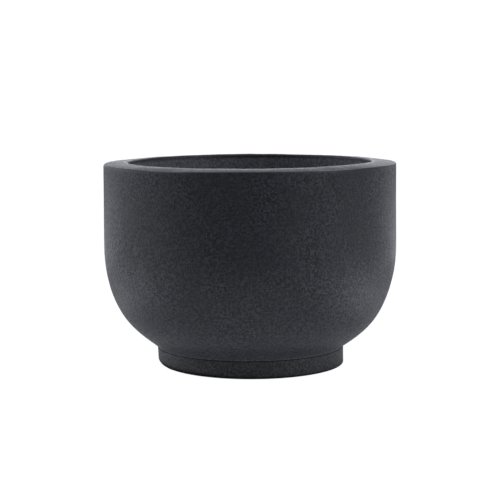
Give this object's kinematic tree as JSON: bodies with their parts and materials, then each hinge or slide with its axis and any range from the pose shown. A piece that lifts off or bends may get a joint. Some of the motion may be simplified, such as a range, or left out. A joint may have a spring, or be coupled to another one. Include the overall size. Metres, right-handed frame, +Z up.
{
  "type": "molcajete",
  "caption": "Turned dark stone molcajete: a thick-walled round mortar bowl on a ring foot, with a stone tejolote lying inside.",
  "frame": {"origin": "centre of the foot's underside, on the surface that the molcajete stands on", "axes": "+Z up along the bowl's turning axis; +Y away from the side that faces the viewer; +X to the viewer's right"},
  "size_m": [0.18, 0.18, 0.1258],
  "materials": {
    "bowl_stone": "honed, finely speckled charcoal",
    "foot_stone": "honed, finely speckled charcoal",
    "tejolote_stone": "honed, finely speckled charcoal, dulled at the grinding face",
    "bond": "cured dark stone adhesive"
  },
  "bodies": {
    "mortar": {"mortar_bowl": "bowl_stone", "foot_ring": "foot_stone", "foot_bond": "bond"},
    "tejolote": {"tejolote": "tejolote_stone"}
  },
  "joints": [
    {"name": "tejolote_lift", "type": "slide", "parent": "mortar", "child": "tejolote", "axis": [0, 0, 1], "range_m": [0, 0.15]}
  ]
}
